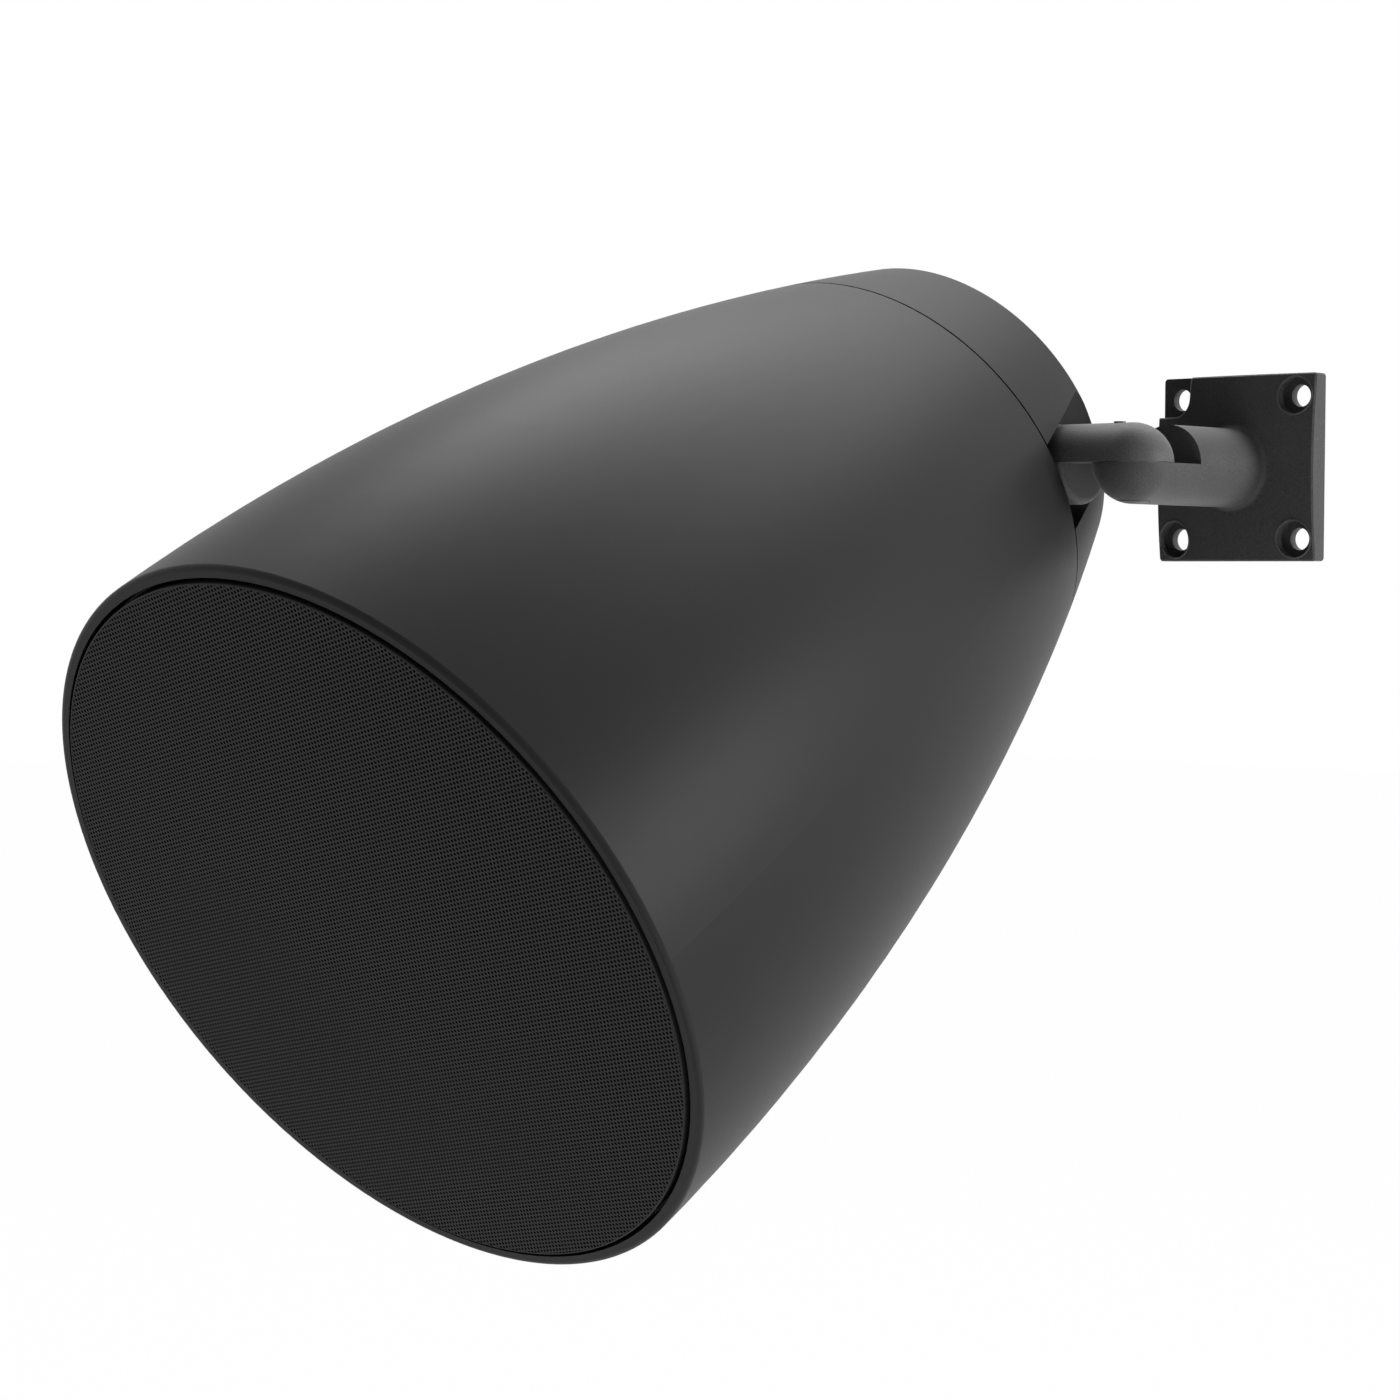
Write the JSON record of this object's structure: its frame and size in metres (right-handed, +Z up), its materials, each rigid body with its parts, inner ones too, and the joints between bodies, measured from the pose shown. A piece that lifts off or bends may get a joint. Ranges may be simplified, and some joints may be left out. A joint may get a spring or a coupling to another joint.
{
  "type": "surface-mount speaker",
  "caption": "Bullet-shaped wall loudspeaker with a round perforated grille, on a square plate with a half-lap arm that pans and tilts.",
  "frame": {"origin": "centre of the wall plate's back face, on the wall", "axes": "+Z is up the wall, -Y points out of the wall along the stem, and the head hangs on the -X side"},
  "size_m": [0.235, 0.3506, 0.2976],
  "materials": {
    "body_coat": "satin anthracite paint on a metal shell",
    "bracket_coat": "fine-textured dark powder coat on a casting",
    "arm_coat": "fine-textured dark powder coat on a casting",
    "grille_coat": "matt dark paint on perforated steel",
    "zinc_steel": "zinc-plated steel",
    "black_steel": "blackened steel",
    "nylon": "natural nylon",
    "rubber": "black rubber",
    "baffle_plastic": "black moulded plastic",
    "foam": "closed-cell foam strip",
    "cloth": "black acoustic cloth",
    "wadding": "polyester wadding",
    "frame_coat": "black paint on pressed steel",
    "ferrite": "bare ferrite",
    "dome_film": "thin polymer dome",
    "copper": "enamelled copper winding",
    "cone_paper": "coated paper",
    "spider_cloth": "resin-treated cloth",
    "board_laminate": "green circuit laminate",
    "core_steel": "laminated core steel",
    "capacitor_film": "wrapped film capacitor",
    "resistor_cement": "white cement body",
    "terminal_plastic": "green moulded plastic",
    "lead_sleeve": "insulated stranded wire"
  },
  "bodies": {
    "bracket": {"wall_bracket": "bracket_coat", "pan_friction_washer": "zinc_steel"},
    "arm": {"swivel_arm": "arm_coat", "pan_bolt": "zinc_steel", "pan_bolt_washer": "zinc_steel", "arm_lock_screw": "black_steel", "tilt_friction_washer": "nylon", "tilt_spring_washer": "zinc_steel", "tilt_nut": "zinc_steel"},
    "head": {"cabinet_shell": "body_coat", "rear_cap": "body_coat", "cap_gasket": "rubber", "cap_screws": "black_steel", "cable_grommet": "rubber", "front_baffle": "baffle_plastic", "baffle_gasket": "foam", "baffle_screws": "black_steel", "grille": "grille_coat", "grille_cloth": "cloth", "damping_lining": "wadding", "woofer_gasket": "foam", "woofer_screws": "black_steel", "woofer_basket": "frame_coat", "woofer_top_plate": "zinc_steel", "woofer_magnet": "ferrite", "woofer_yoke": "zinc_steel", "tweeter_housing": "baffle_plastic", "tweeter_motor": "zinc_steel", "tweeter_dome": "dome_film", "woofer_surround": "rubber", "woofer_spider": "spider_cloth", "crossover_board": "board_laminate", "board_screws": "zinc_steel", "line_transformer": "core_steel", "crossover_coil": "copper", "crossover_capacitor": "capacitor_film", "crossover_resistor": "resistor_cement", "terminal_block": "terminal_plastic", "driver_leads": "lead_sleeve"},
    "cone": {"woofer_cone": "cone_paper", "voice_coil": "copper"}
  },
  "joints": [
    {"name": "pan", "type": "hinge", "parent": "bracket", "child": "arm", "pos_m": [0, -0.061, 0], "axis": [0, 0, 1], "range_deg": [-3, 90]},
    {"name": "tilt", "type": "hinge", "parent": "arm", "child": "head", "pos_m": [0, -0.061, 0], "axis": [1, 0, 0], "range_deg": [-60, 5]},
    {"name": "cone_travel", "type": "slide", "parent": "head", "child": "cone", "axis": [0, -0.866, -0.5], "range_m": [-0.003, 0.003], "stiffness_N_per_m": 2000, "deforming": ["woofer_surround", "woofer_spider"]}
  ]
}
